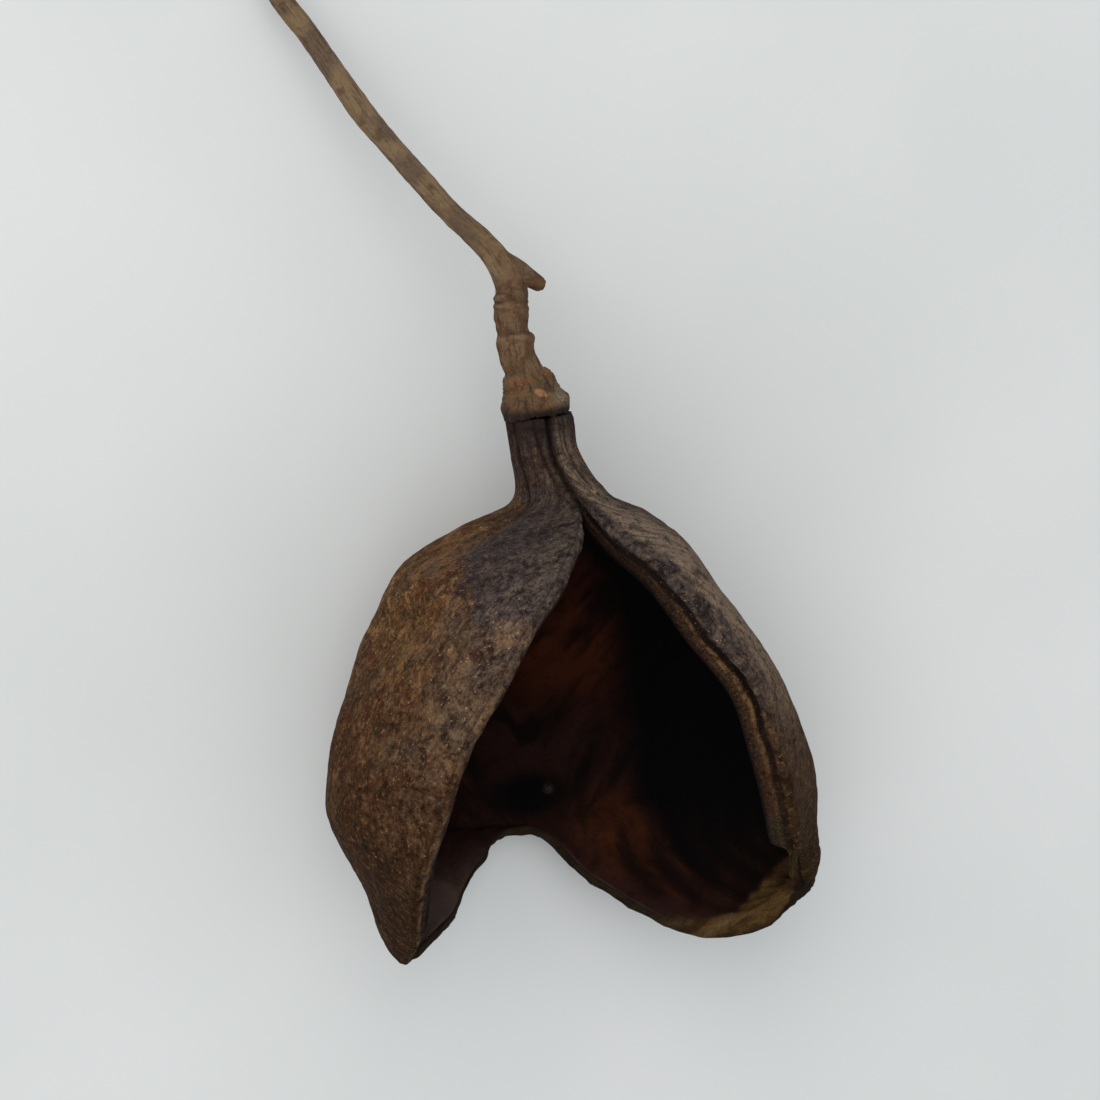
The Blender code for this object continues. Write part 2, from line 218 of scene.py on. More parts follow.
def sectionRows(side):
    right, left = sectionTable("rightEnd"), sectionTable("leftEnd")
    keys, other = (right, left) if side > 0 else (left, right)
    middle = (right + left) / 2
    steps = np.linalg.norm(np.diff(middle[:, :9], axis=0), axis=1) / np.sqrt(3)
    places = np.concatenate([[0], np.cumsum(steps)])
    gaps, notch = np.diff(places), husk["notchSection"]
    arrive = slopesAt(keys, places)
    arrive[-1] = 2 * (keys[-1] - keys[-2]) / gaps[-1] - arrive[-2]   # the tips round off
    leave = arrive.copy()
    seam = (arrive[:notch + 1, :3] + slopesAt(other, places)[:notch + 1, :3]) / 2
    seam[:, 0] = 0
    arrive[:notch + 1, :3] = seam
    leave[:notch, :3] = seam[:-1]
    step = (keys[notch + 1, :3] - keys[notch, :3]) / gaps[notch]
    leave[notch, :3] = step * husk["tear"][side]
    return curve(keys, places, leave, arrive, perGap)


def bezier(a, b, c, d, s):
    s = s[None, :, None]
    r = 1 - s
    return (r**3 * a[:, None] + 3 * r * r * s * b[:, None] + 3 * r * s * s * c[:, None]
            + s**3 * d[:, None])


def halfSkin(side):
    rows = sectionRows(side)
    full = husk["fullness"]
    back, belly, lip, curl = rows[:, 0:3], rows[:, 3:6], rows[:, 6:9], rows[:, 9]
    run, rise = belly[:, 0] - back[:, 0], belly[:, 1] - back[:, 1]
    start = unit(np.column_stack([1 / rise, back[:, 0] / belly[:, 0]**2]))
    reach = full * (abs(start[:, 0]) * run + abs(start[:, 1]) * rise)
    flat = np.zeros_like(rise)
    lower = bezier(back[:, :2], back[:, :2] + start * reach[:, None],
                   belly[:, :2] - np.column_stack([flat, full * rise]), belly[:, :2],
                   np.linspace(0, 1, backCols + 1))
    over, up = belly[:, 0] - lip[:, 0], lip[:, 1] - belly[:, 1]
    aim = np.column_stack([-np.cos(curl), np.sin(curl)])
    pull = full * (over * np.cos(curl) + 0.35 * up * np.sin(curl) + 0.2)
    upper = bezier(belly[:, :2], belly[:, :2] + np.column_stack([flat, full * up]),
                   lip[:, :2] - aim * pull[:, None], lip[:, :2], np.linspace(0, 1, frontCols + 1))
    u = np.concatenate([np.linspace(0, 1, backCols + 1), np.linspace(1, 2, frontCols + 1)[1:]])
    h = (np.outer(back[:, 2], (u - 1) * (u - 2) / 2) - np.outer(belly[:, 2], u * (u - 2))
         + np.outer(lip[:, 2], u * (u - 1) / 2))
    grid = np.concatenate([np.concatenate([lower, upper[:, 1:]], axis=1), h[..., None]], axis=2)
    grid[..., 0] = grid[..., 0] * side + rows[:, 10][:, None]
    return grid


def lumps(p):
    x, y, h = p[..., 0], p[..., 1], p[..., 2]
    wave = (np.sin(0.36 * x + 0.15 * h + 0.4) + np.sin(-0.17 * x + 0.33 * h + 0.25 * y + 1.9)
            + np.sin(-0.2 * x + 0.21 * h + 0.28 * y + 4.0))
    calm = 1 - husk["rightCalm"] * smooth(-6, 6, x)
    return husk["lump"] * calm * wave * np.clip((h - 8) / 12, 0, 1)


def gridFaces(ids, side, outward=True):
    a, b, c, d = ids[:-1, :-1], ids[:-1, 1:], ids[1:, 1:], ids[1:, :-1]
    quads = np.stack([a, b, c, d], axis=-1).reshape(-1, 4)
    return quads if (side > 0) == outward else quads[:, ::-1]


def pointNormals(points, quads):
    a, b, c, d = points[quads.T]
    flat = np.cross(c - a, d - b)
    total = np.zeros_like(points)
    for k in range(4):
        for axis in range(3):
            total[:, axis] += np.bincount(quads[:, k], flat[:, axis], len(points))
    return unit(total)


def eased(values, quads, rounds):   # evens values out along the edges of the faces
    a, b = quads.T.ravel(), np.roll(quads, -1, 1).T.ravel()
    for _ in range(rounds):
        spread = values * 2
        for axis in range(3):
            spread[:, axis] += np.bincount(a, values[b, axis], len(values))
            spread[:, axis] += np.bincount(b, values[a, axis], len(values))
        values = unit(spread)
    return values


def skinMeasures(grid, side):   # along the husk, across it from the seam, and share of the way round
    steps = np.linalg.norm(np.diff(grid, axis=1), axis=2)
    width = np.concatenate([np.zeros((len(grid), 1)), np.cumsum(steps, axis=1)], axis=1)
    along = np.repeat(runOf(grid[:, backCols])[:, None], lastCol + 1, 1)
    share = width / width[:, -1:]
    return along, share * (width[:, -1:] * 0.6 + 20) * side, share


def outerRelief(points, along, across, share):
    h = points[:, 2]
    turn = share * np.sign(across + 1e-9) * np.pi
    # furrows that run down the neck and out over the shoulders
    bend = waves(np.column_stack([turn * 1.2, h / 9, h * 0]), 1.0, 5) * 0.16
    furrow = 0
    for count, phase, depth in husk["furrows"]:
        rib = np.abs(np.sin((turn + bend) * count / 2 + phase)) ** husk["furrowEdge"]
        furrow = furrow + depth * (rib - 0.8)
    patchy = 0.75 + 0.5 * waves(np.column_stack([turn * 2.0, h / 7, h * 0]), 1.0, 9)
    patchy = patchy * (1 - smooth(7, 23, h)) * (0.45 + 0.55 * smooth(0, 3, h))
    detail = husk["furrowDepth"] * furrow * patchy
    # the furrows' troughs, kept for painted shade
    furrowShade = smooth(-0.05, -0.75, furrow) * (1 - smooth(8, 20, h))
    # slow dents, fibres that run with the length, and a fine grain
    fibre = waves(np.column_stack([along / 7, across / 1.5, share * 0]), 1.0, 31)
    detail += husk["dents"] * waves(points, 6.5, 21) * smooth(12, 30, h)
    detail += husk["skinGrain"] * (1.3 * fibre * smooth(6, 18, h) + waves(points, 1.3, 41))
    # the closed seam down the front of the neck, with a rib on each side
    fromSeam = (1 - share) * 16
    seam = bell(fromSeam, 0, husk["seamWidth"]) * (1 - smooth(11.5, 14, h))
    detail += 0.3 * bell(fromSeam, 1.5, 0.8) * (1 - smooth(10, 16, h)) - husk["seamDepth"] * seam
    detail -= 0.25 * (1 - smooth(0, 1.3, h)) ** 2     # the neck's top rounds off
    return detail, np.maximum(furrowShade, seam)


def wallAt(side, i, j):   # the wall's thickness at rows i and columns j
    torn = smooth(notchRow - perGap * 1.5, notchRow + perGap * 0.25, i)
    edge = np.maximum(smooth(frontCols * 0.75, 0, lastCol - j), smooth(backCols * 0.4375, 0, j) * torn)
    edge = np.maximum(edge, smooth(perGap, 0, lastRow - i))
    thick = husk["wall"] + (husk["lipWall"] - husk["wall"]) * edge
    return thick * (1 + (husk["tipShare"][side] - 1) * smooth(perGap * 8.5, lastRow, i))


def innerRelief(p, along, across, share):   # ridges that cross at a slant, slow dents, a fine grain
    slant = (along * 0.6 + np.abs(across) * 0.85 + 1.4 * waves(p, 9.0, 51)) / husk["innerRidgeGap"]
    ridge = (1 - np.abs(np.sin(np.pi * slant))) ** 1.6 - 0.35
    where = smooth(0.02, 0.12, share) * (1 - smooth(0.55, 0.8, share)) * smooth(24, 38, p[..., 2])
    crest = ridge * np.clip(0.55 + 0.6 * waves(p, 11.0, 61), 0, 1.2) * where
    small = husk["innerDents"] * waves(p, 5.0, 71) + husk["innerGrain"] * waves(p, 1.4, 81)
    return crest, husk["innerRidges"] * crest + small


def edgeWay():   # row, column and side of each point round the wall's edge
    down, back = range(slitRow, lastRow), range(lastRow - 1, slitRow, -1)
    way = [(i, lastCol, 1) for i in down] + [(lastRow, j, 1) for j in range(lastCol, -1, -1)]
    way += [(i, 0, 1) for i in back if i > notchRow] + [(i, 0, -1) for i in down if i >= notchRow]
    way += [(lastRow, j, -1) for j in range(lastCol + 1)] + [(i, lastCol, -1) for i in back]
    return [np.array(v) for v in zip(*way)]


def lipRings(outside, inside, away, run, depth, side, plain, size):   # points across the wall's edge
    table = np.array(husk["lip"], float)
    shares, bulges = table[:, 0], table[:, 1:]
    slopes = slopesAt(bulges, shares)
    even = np.where(side < 0, np.maximum(plain, husk["leftPlain"]), plain)
    line = np.column_stack([run, run * 0, run * 0])
    wander = 0.03 * waves(line, 9.0, 99) + 0.025 * waves(line, 3.1, 98)
    shallow = 0.4 + 0.4 * waves(line, 5.5, 97)
    grooveAt, grooveWide, grooveDeep = husk["thinGroove"]
    grooveAt = grooveAt + 0.06 * waves(line, 5.0, 93)
    grooveDeep = grooveDeep * (side > 0) * smooth(42, 56, depth) * (1 - plain)
    rings = []
    for k in range(1, husk["lipPoints"]):
        s = k / husk["lipPoints"]
        i = min(np.searchsorted(shares, s, side="right") - 1, len(shares) - 2)
        gap = shares[i + 1] - shares[i]
        grooved, flat = between(bulges[i], bulges[i + 1], slopes[i], slopes[i + 1], gap,
                                (s - shares[i]) / gap)
        where = np.column_stack([run / 2.6, np.full(len(run), s * 2.5), run * 0])
        rough = husk["lipRough"] * (waves(where, 1.0, 91) + waves(where * 3.1, 1.0, 95) * 2 / 3)
        bulge = grooved + (flat - grooved) * np.maximum(even, shallow * (grooved < 0))
        bulge += rough * np.sin(np.pi * s) - grooveDeep * bell(s, grooveAt, grooveWide)
        at = s + wander * np.sin(np.pi * s)
        rings.append(outside + (inside - outside) * at[:, None] + away * (bulge * size)[:, None])
    return rings


def bareInside(points, edgePoints, edgeBare):   # the bare crescent in the right half's lower corner
    apart = np.linalg.norm(points[:, None] - edgePoints[None], axis=2)
    byEdge = (edgeBare * (1 - smooth(0.6, 2.2, apart))).max(1)
    beyond = (points - husk["crescentAt"]) @ unit(np.array(husk["crescentOut"], float))
    beyond += 0.5 * waves(points, 3.0, 111) + 0.25 * waves(points, 1.1, 113)
    i, j = np.divmod(np.arange(len(points)), lastCol + 1)
    corner = smooth(perGap * 9.8, perGap * 10.6, i + slitRow) * smooth(8, 2, lastCol - j)
    return np.maximum(np.maximum(byEdge, corner), smooth(-0.3, 0.6, beyond))


def huskShape():
    right, left = halfSkin(1), halfSkin(-1)
    size = (lastRow + 1) * (lastCol + 1)
    ids = {1: np.arange(size).reshape(lastRow + 1, lastCol + 1)}
    ids[-1] = ids[1] + size
    ids[-1][:notchRow + 1, 0] = ids[1][:notchRow + 1, 0]       # the halves share the back seam
    ids[-1][:slitRow + 1, -1] = ids[1][:slitRow + 1, -1]       # and the front seam above the slit
    right[:slitRow + 1, -1] = (right[:slitRow + 1, -1] + left[:slitRow + 1, -1]) / 2 - (0, 0.5, 0)
    points = np.concatenate([right.reshape(-1, 3), left.reshape(-1, 3)])
    outerQuads = np.concatenate([gridFaces(ids[1], 1), gridFaces(ids[-1], -1)])
    normals = eased(pointNormals(points, outerQuads), outerQuads, husk["spread"])
    measures = {1: skinMeasures(right, 1), -1: skinMeasures(left, -1)}
    along, across, share = [np.concatenate([a.ravel(), b.ravel()])
                            for a, b in zip(measures[1], measures[-1])]
    plainSkin = points + normals * lumps(points)[:, None]
    detail, furrowShade = outerRelief(points, along, across, share)
    outer = plainSkin + normals * detail[:, None]

    # the hollow's skin, from the slit down, with one shared point at its upper end
    i, j = np.arange(slitRow, lastRow + 1)[:, None], np.arange(lastCol + 1)[None, :]
    lips = [plainSkin[ids[s][slitRow:, lastCol], 0] for s in (1, -1)]
    lean = smooth(slitRow, slitRow + perGap * 3.5, i) * (1 - smooth(perGap * 8.5, lastRow, i))
    lean = lean * smooth(frontCols * 0.6, 0, lastCol - j)
    insideIds, insidePoints, crest = {}, [], {}
    start = hub = len(outer)
    for s in (1, -1):
        own = ids[s][slitRow:]
        core = plainSkin[own][:, -1:] * (1, 0.3, 1)
        core[:, 0, 0] = (lips[0] + lips[1]) / 2
        openUp = (0.45 + 0.55 * smooth(0, 4.5 * perGap / 4, i - slitRow))[..., None]
        p = core + (plainSkin[own] - normals[own] * wallAt(s, i, j)[..., None] - core) * openUp
        if s > 0:
            p = p + lean[..., None] * husk["lipLean"]
        measuresIn = [m[slitRow:] for m in measures[s]]
        crest[s], relief = innerRelief(p, *measuresIn)
        calm = smooth(0, 0.06, 1 - measuresIn[2]) * smooth(0, 3, i - slitRow)
        p = p - normals[own] * (relief * calm)[..., None]
        p[0] = core[0] + (0, 0, 0.6)
        insidePoints.append(p.reshape(-1, 3))
        insideIds[s] = start + np.arange(own.size).reshape(own.shape)
        insideIds[s][0] = hub
        start += own.size
    insideIds[-1][:notchRow + 1 - slitRow, 0] = insideIds[1][:notchRow + 1 - slitRow, 0]
    skins = np.concatenate([outer] + insidePoints)
    faces = [outerQuads] + [gridFaces(insideIds[s][1:], s, False) for s in (1, -1)]

    # the wall's edge, one closed band round the opening and both tips
    wayRow, wayCol, waySide = edgeWay()
    outIds = np.where(waySide > 0, ids[1][wayRow, wayCol], ids[-1][wayRow, wayCol])
    inRow = wayRow - slitRow
    inIds = np.where(waySide > 0, insideIds[1][inRow, wayCol], insideIds[-1][inRow, wayCol])
    base = plainSkin[outIds]
    ahead = np.roll(base, -1, 0) - np.roll(base, 1, 0)
    for _ in range(3):
        ahead = ahead + np.roll(ahead, 1, 0) + np.roll(ahead, -1, 0)
    away = np.cross(ahead, normals[outIds])
    away[0] = 0
    gap = np.abs(plainSkin[ids[1][wayRow, lastCol], 0] - plainSkin[ids[-1][wayRow, lastCol], 0])
    thick = np.linalg.norm(skins[outIds] - skins[inIds], axis=1) / husk["lipWall"]
    lipSize = np.minimum(np.minimum(gap / 5, thick), 1)
    lowEnd = smooth(0, lastCol * 0.5, lastCol - wayCol) * (wayRow == lastRow)
    plain = np.where(wayCol == 0, 1.0, lowEnd)
    run = runOf(base)
    rings = lipRings(skins[outIds], skins[inIds], unit(away), run, base[:, 2], waySide, plain, lipSize)

    # faces of the band, of the hollow's upper end and of the neck's top
    points = np.vstack([skins] + rings + [[[husk["upper"][0][0], 0, 0]]])
    ringIds = len(skins) + np.arange(len(rings) * len(run)).reshape(len(rings), -1)
    ringIds = [outIds, *ringIds, inIds]
    for r, q in zip(ringIds[:-1], ringIds[1:]):
        faces.append(np.stack([r, q, np.roll(q, -1), np.roll(r, -1)], axis=-1))
    for s in (1, -1):
        for row, hubAt, turn in ((insideIds[s][1], hub, s), (ids[s][0], len(points) - 1, -s)):
            a, b = (row[:-1], row[1:])[::turn]
            faces.append(np.stack([np.full_like(a, hubAt), a, b], axis=-1))

    # values for the finish: skin is 0 outside and 1 inside, round is the share of the way round
    names = "skin round plain lip along across bare furrow crest"
    kept = {name: np.zeros(len(points)) for name in names.split()}
    torn = np.where(wayCol == 0, smooth(perGap * 9.5, perGap * 10.2, wayRow),
                    np.where(wayRow == lastRow, 1.0, smooth(perGap * 10.4, lastRow, wayRow)))
    bare = torn * (waySide > 0)
    barkLeft = np.where(wayRow == lastRow, 0.2 + 0.5 * smooth(0, backCols, wayCol),
                        0.1 + 0.15 * smooth(perGap * 10, lastRow, wayRow))   # on the bare edge

    def keep(block, **values):
        for name, numbers in values.items():
            kept[name][block] = numbers

    keep(slice(len(outer)), round=share, along=along, across=across, furrow=furrowShade)
    start = len(outer)
    for s, inner in zip((1, -1), insidePoints):
        block = slice(start, start + len(inner))
        values = [m[slitRow:].ravel() for m in measures[s]]
        keep(block, skin=1, along=values[0], across=values[1], round=values[2], crest=crest[s].ravel())
        if s > 0:
            keep(block, bare=bareInside(inner, skins[inIds][bare > 0.02], bare[bare > 0.02]))
        start += len(inner)
    for k, ring in enumerate(ringIds[1:-1], 1):
        s = k / husk["lipPoints"]
        keep(ring, skin=s, lip=np.minimum(lipSize * 1.6, 1), plain=plain, round=share[outIds], along=run,
             bare=bare * smooth(barkLeft - 0.1, barkLeft + 0.08, s), across=across[outIds] + 4.2 * s)
    keep(outIds, plain=plain)
    keep(inIds, plain=plain)
    return points, faces, kept


def meshObject(name, points, faces, values):
    used = np.unique(np.concatenate([f.ravel() for f in faces]))
    order = np.zeros(len(points), int)
    order[used] = np.arange(len(used))
    thing = plainMesh(name, placed(points[used]), [row for f in faces for row in order[f].tolist()])
    finishMesh(thing.data, {key: numbers[used] for key, numbers in values.items()})
    return thing


points, faces, kept = huskShape()
huskPiece = meshObject("husk", points, faces, kept)
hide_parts("pod")
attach(huskPiece, "root")
print("husk", len(huskPiece.data.vertices), "points")


# The stalk's shape

stalk = {
    "path": [
        (-0.2, 0.0, -0.3, 5.0), (-0.2, 0.0, -0.7, 5.25), (-0.45, 0.0, -1.6, 5.35),
        (-0.7, 0.0, -3.1, 4.65), (-1.0, -0.1, -5.0, 3.8), (-1.5, -0.2, -6.1, 3.4),
        (-1.6, -0.2, -6.8, 3.1), (-1.7, -0.3, -7.4, 2.85), (-2.1, -0.5, -8.6, 2.8),
        (-2.4, -0.6, -10.6, 2.84), (-2.5, -0.7, -11.8, 2.8), (-2.6, -0.8, -12.5, 2.55),
        (-2.7, -0.9, -13.5, 2.4), (-2.6, -1.0, -14.8, 2.5), (-2.5, -1.2, -16.0, 2.65),
        (-2.3, -1.4, -17.4, 2.62), (-1.9, -1.7, -19.1, 2.55), (-2.3, -2.2, -21.6, 2.3),
        (-3.7, -3.0, -24.7, 2.0), (-5.6, -4.0, -27.4, 1.85), (-9.3, -4.9, -31.7, 1.75),
        (-13.3, -5.9, -37.1, 1.78), (-17.3, -6.9, -42.8, 1.68), (-21.1, -7.8, -48.4, 1.8),
        (-24.1, -8.6, -53.8, 1.66), (-27.5, -9.5, -60.1, 1.66), (-31.1, -10.3, -65.9, 1.66),
        (-33.4, -10.8, -70.0, 1.6),
    ],
    "steps": 6,
    "sides": 36,
    "stubSides": 24,
    "stub": [(-3.4, -2.7, -24.0), (3.6, -1.9, -19.2)],
    "stubRings": [(0.0, 2.05), (0.4, 1.85), (0.7, 1.45), (0.93, 1.15), (1.0, 0.75)],
    "voxel": 0.00017,       # metres
    # place along the stalk, height, width, tilt and the side that the tilt points to
    "rings": [
        (7.9, 0.1, 0.4, 0.3, 0.5), (11.9, 0.36, 0.5, 0.35, 0.3), (12.9, -0.16, 0.4, 0.3, 0.3),
        (15.3, 0.1, 0.35, 0.2, 3.0), (16.7, 0.24, 0.34, 0.15, 1.0), (17.5, -0.22, 0.28, 0.1, 1.0),
        (18.2, 0.22, 0.34, 0.1, 2.6), (20.3, -0.1, 0.4, 0.2, 4.0), (2.9, -0.2, 0.4, 0.25, 1.2),
        (5.2, 0.22, 0.4, 0.4, 0.1), (6.4, -0.16, 0.4, 0.4, 0.1), (1.2, 0.12, 0.5, 0.2, 2.2),
    ],
    "nubAt": 11.8,          # a small knob on the front
    "nubHigh": 0.5,
    "blotches": 30,
    "blotchSeed": 7,
    # place along the stalk, turn round it, length and width of the dark patches
    "darkPatches": [(29.0, 2.6, 2.6, 1.1), (33.5, 2.2, 1.8, 0.8), (26.0, 0.9, 1.0, 1.6),
                    (41.0, 2.9, 2.2, 0.9), (56.0, 2.4, 2.5, 0.7), (70.0, 2.0, 2.0, 0.8)],
    "eye": (-4.4, -1.75, -25.9),     # a small dark ring on the twig
    "scar": (-0.7, -3.9),       # across and down from the neck's top
    "lichen": (2.6, -2.4),
    "footRound": 4.95,          # radius at the collar's lower edge
    "footCentre": -0.1,
    "underside": -0.3,          # height of the collar's flat under face
}


def tubePiece(name, path, radii, sides):
    ahead = unit(np.gradient(path, axis=0))
    over = np.cross(ahead[0], (0.0, 1.0, 0.0))
    points, faces = [path[0]], []
    angles = np.arange(sides) * 2 * np.pi / sides
    for centre, forward, radius in zip(path, ahead, radii):
        over = unit(over - forward * np.dot(over, forward))
        up = np.cross(forward, over)
        points.extend(centre + radius * (np.cos(angle) * over + np.sin(angle) * up) for angle in angles)
    points.append(path[-1])
    end = len(points) - 1
    for k in range(sides):
        n = (k + 1) % sides
        faces += [(0, 1 + n, 1 + k), (end, end - sides + k, end - sides + n)]
        for a in range(1, end - sides, sides):
            faces.append((a + k, a + n, a + sides + n, a + sides + k))
    return plainMesh(name, np.array(points) * mm, faces)


def stalkPath():
    keys = np.array(stalk["path"], float)
    places = runOf(keys[:, :3])
    slopes = slopesAt(keys, places)
    return curve(keys, places, slopes, slopes, stalk["steps"])


def stalkBody(path):   # the stalk with its stub grown on, as one even skin
    body = tubePiece("stalk_bark", path[:, :3], path[:, 3], stalk["sides"])
    a, b = np.array(stalk["stub"])
    at, radii = np.array(stalk["stubRings"]).T
    stub = tubePiece("stub", a + (b - a) * at[:, None], radii, stalk["stubSides"])
    union = body.modifiers.new("union", "BOOLEAN")
    union.operation, union.solver, union.object = "UNION", "EXACT", stub
    remesh = body.modifiers.new("remesh", "REMESH")
    remesh.mode, remesh.voxel_size = "VOXEL", stalk["voxel"]
    settle = body.modifiers.new("settle", "SMOOTH")
    settle.factor, settle.iterations = 0.5, 3
    bpy.context.view_layer.update()
    grown = body.evaluated_get(bpy.context.evaluated_depsgraph_get())
    mesh = bpy.data.meshes.new_from_object(grown)
    body.modifiers.clear()
    body.data = mesh
    bpy.data.objects.remove(stub, do_unlink=True)
    return body


def stalkMeasures(p, path):   # place along the stalk, and angle round it
    nearest = np.concatenate([((part[:, None] - path[None]) ** 2).sum(2).argmin(1)
                              for part in np.array_split(p, len(p) // 4000 + 1)])
    tangent = unit(np.gradient(path, axis=0))
    offset = p - path[nearest]
    slide = (offset * tangent[nearest]).sum(1)
    radial = offset - slide[:, None] * tangent[nearest]
    over = unit((1, 0, 0) - tangent * tangent[:, :1])
    up = np.cross(tangent, over)
    angle = np.arctan2((radial * up[nearest]).sum(1), (radial * over[nearest]).sum(1))
    return runOf(path)[nearest] + slide, angle


def turnedAway(angle, turned):   # how far round the stalk from a place
    return np.abs((angle - turned + np.pi) % (2 * np.pi) - np.pi)


def darkSpots(p, along, angle):   # dark blotches on the twig, more of them by the joint
    rng = np.random.default_rng(stalk["blotchSeed"])
    twigRound = 1.7
    spots = np.zeros(len(p))
    for _ in range(stalk["blotches"]):
        at, turned = 24 + 72 * rng.random() ** 1.7, rng.uniform(-np.pi, np.pi)
        wide = rng.uniform(0.35, 0.75)
        spot = bell(along, at, wide * 1.9) * bell(turnedAway(angle, turned) * twigRound, 0, wide)
        spots = np.maximum(spots, spot * rng.uniform(0.4, 1.0))
    for at, turned, longer, wider in stalk["darkPatches"]:
        far = ((along - at) / longer) ** 2 + (turnedAway(angle, turned) * twigRound / wider) ** 2
        spots = np.maximum(spots, 0.8 * (1 - smooth(0.3, 1.3, far + 0.9 * waves(p, 0.9, 22))))
    apart = np.linalg.norm(p - stalk["eye"], axis=1) + 0.3 * waves(p, 0.8, 23)
    return np.maximum(spots, (0.45 + 0.35 * waves(p, 1.2, 24)) * bell(apart, 0.7, 0.25))


def footShape(p, turn):   # the collar's foot comes down over the neck in uneven lobes
    centre, flat = stalk["footCentre"], stalk["underside"]
    reach = np.hypot((p[:, 0] - centre) / 1.05, p[:, 1])
    limit = stalk["footRound"] + 0.5 * (1 - smooth(-2.0, flat, p[:, 2])) + 0.12 * waves(turn * 3.0, 1.0, 13)
    share = np.where(p[:, 2] > -2.0, np.minimum(limit / np.maximum(reach, 0.1), 1), 1)
    p[:, :2] = (p[:, :2] - (centre, 0)) * share[:, None] + (centre, 0)
    lobe = 0.45 + 0.4 * waves(turn * 2.1, 1.0, 14) + 0.25 * waves(turn * 5.0, 1.0, 15)
    rim = smooth(3.6, 4.9, np.hypot(p[:, 0] + 0.2, p[:, 1]))
    p[:, 2] = np.minimum(p[:, 2], flat)
    p[:, 2] += lobe * rim * (1 - smooth(flat, -2.4, p[:, 2])) * smooth(-2.4, flat, p[:, 2])
    return p


def stalkShape():
    path = stalkPath()
    body = stalkBody(path)
    mesh = body.data
    numbers = {key: np.empty(len(mesh.vertices) * 3, np.float32) for key in ("co", "normal")}
    for key, buffer in numbers.items():
        mesh.vertices.foreach_get(key, buffer)
    p, normal = [buffer.reshape(-1, 3).astype(float) for buffer in numbers.values()]
    p = p / mm
    along, angle = stalkMeasures(p, path[:, :3])
    collar = 1 - smooth(5.6, 7.4, along)                   # 1 on the collar
    ringed = smooth(6.0, 7.5, along) * (1 - smooth(20, 24, along))
    twig = smooth(24, 30, along)
    turn = np.column_stack([np.cos(angle), np.sin(angle), along * 0])

    def ribs(turns, length, seed):   # wrinkles that run lengthwise
        return waves(turn * turns + (0, 0, 1) * along[:, None] / length, 1.0, seed)

    move = (0.2 * collar + 0.11 * ringed + 0.05 * twig) * ribs(2.6, 5, 3)
    move += (0.1 * collar + 0.07 * ringed + 0.035 * twig) * ribs(5.5, 3.5, 4)
    move += 0.06 * waves(p, 1.1, 6) + 0.16 * waves(p, 4.2, 7) * (0.4 + collar)
    move += (0.1 * collar + 0.06 * ringed) * waves(p, 0.75, 16) + 0.05 * collar * waves(p, 0.42, 17)
    crease = smooth(0.1, 0.0, np.abs(ribs(4.2, 6, 18))) * (1 - smooth(8, 20, along) * 0.5)
    move -= (0.3 * collar + 0.2 * ringed) * crease
    # raised rings round the stalk, each a little tilted and broken
    ringRise = 0
    for at, high, wide, tilt, phase in stalk["rings"]:
        uneven = 0.65 + 0.75 * waves(turn * 2.3 + (at, 0, 0), 1.0, 8)
        sway = 0.45 * waves(turn * 1.6 + (at * 3, 5, 0), 1.0, 12)
        ringRise = ringRise + high * uneven * bell(along + tilt * np.cos(angle - phase) + sway, at, wide)
    spots = darkSpots(p, along, angle)
    foot = 1 - smooth(0.8, 2.3, -p[:, 2])
    nub = bell(along, stalk["nubAt"], 0.8) * bell(turnedAway(angle, 0) * 2.5, 0, 0.9)
    move += ringRise - 0.06 * spots + stalk["nubHigh"] * nub - 0.1 * foot
    p = footShape(p + normal * move[:, None], turn)

    front = p[:, 1] > 0
    over, down = p[:, 0] - stalk["scar"][0], p[:, 2] - stalk["scar"][1]
    scar = bell(over + down * 0.5, 0, 1.25) * bell(down - over * 0.5, 0, 0.55)
    lichen = bell(p[:, 0], stalk["lichen"][0], 1.4) * bell(p[:, 2], stalk["lichen"][1], 1.9)
    mesh.vertices.foreach_set("co", placed(p).ravel().astype(np.float32))
    finishMesh(mesh, {"along": along, "turnA": turn[:, 0], "turnB": turn[:, 1], "spots": spots,
                      "ringed": ringed, "collar": collar, "foot": foot, "ringRise": ringRise,
                      "scar": scar * front * (0.9 + 0.5 * waves(p, 0.6, 19)), "lichen": lichen * front})
    return body


stalkPiece = stalkShape()
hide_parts("stalk")
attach(stalkPiece, "root")
print("stalk", len(stalkPiece.data.vertices), "points")


# Finishes

class Signal:   # a node's output that ordinary arithmetic works on
    def __init__(self, sheet, socket):
        self.sheet, self.socket = sheet, socket

    def math(self, operation, *values):
        return self.sheet.add("Math", {"operation": operation}, dict(enumerate(values)))

    def __add__(self, other):
        return self.math("ADD", self, other)

    def __sub__(self, other):
        return self.math("SUBTRACT", self, other)

    def __rsub__(self, other):
        return self.math("SUBTRACT", other, self)

    def __mul__(self, other):
        return self.math("MULTIPLY", self, other)

    def __pow__(self, other):
        return self.math("POWER", self, other)

    __radd__, __rmul__ = __add__, __mul__

    def clamped(self):
        return self.sheet.add("Clamp", {}, {"Value": self})

    def step(self, low, high):   # eases from 0 at low to 1 at high
        return self.sheet.add("MapRange", {"interpolation_type": "SMOOTHSTEP"},
                              {"Value": self, "From Min": low, "From Max": high})


